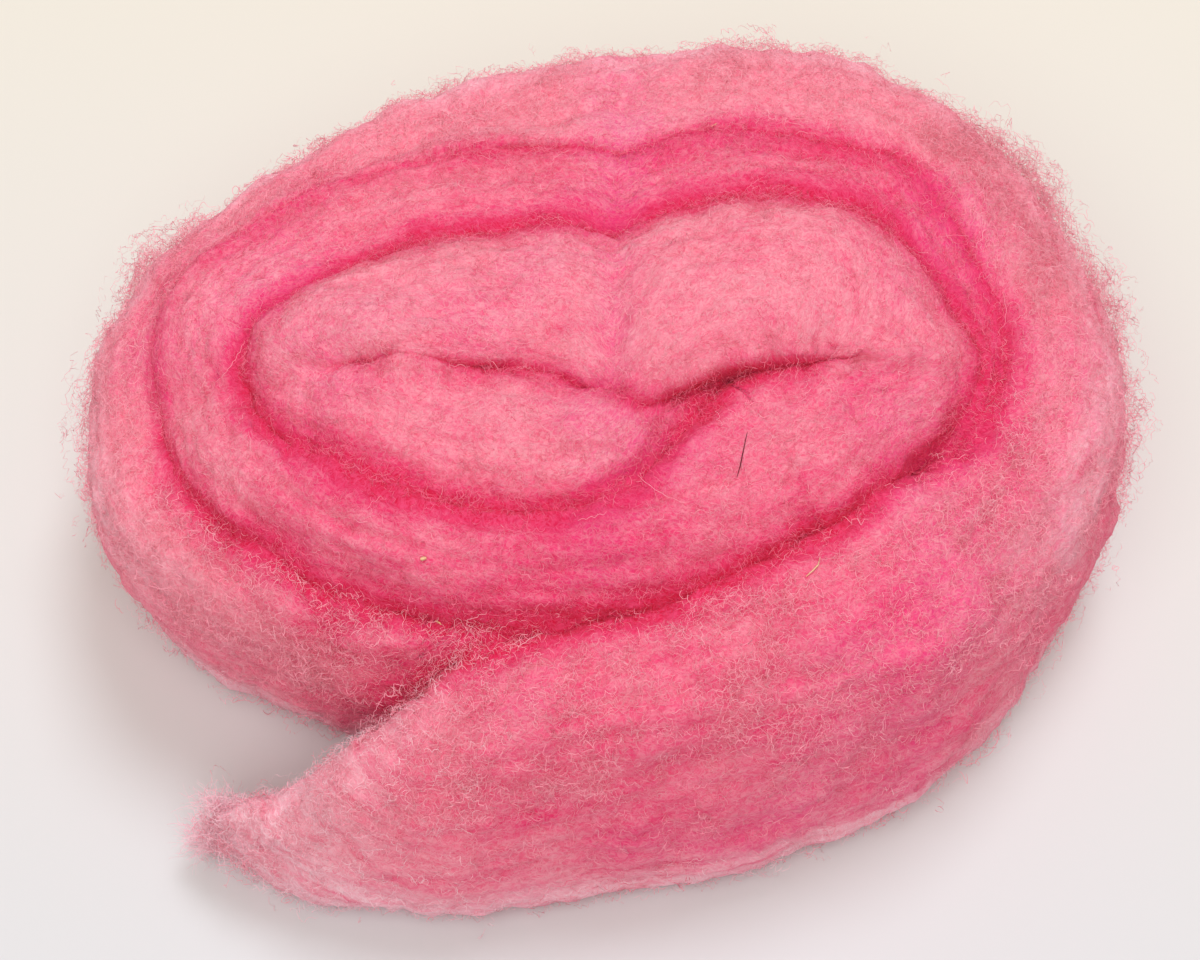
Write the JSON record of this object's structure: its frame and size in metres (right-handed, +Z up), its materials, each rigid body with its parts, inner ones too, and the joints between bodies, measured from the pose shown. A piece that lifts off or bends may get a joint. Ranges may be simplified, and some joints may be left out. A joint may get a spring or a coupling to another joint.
{
  "type": "wool roving",
  "caption": "Soft pink carded wool roving, a thick strip stood on edge and wound into a loose oval roll with a torn loose end, for spinning and felting.",
  "frame": {"origin": "centre of the bounding box's bottom face, on the surface that the roll stands on", "axes": "+X to the right along the roll's long side, +Y to the back, +Z up; the loose end lies at the front left"},
  "size_m": [0.1616, 0.141, 0.0521],
  "materials": {
    "pink_wool": "matt, fluffy carded wool with a soft sheen"
  },
  "bodies": {
    "root": {"roving": "pink_wool"}
  },
  "joints": []
}
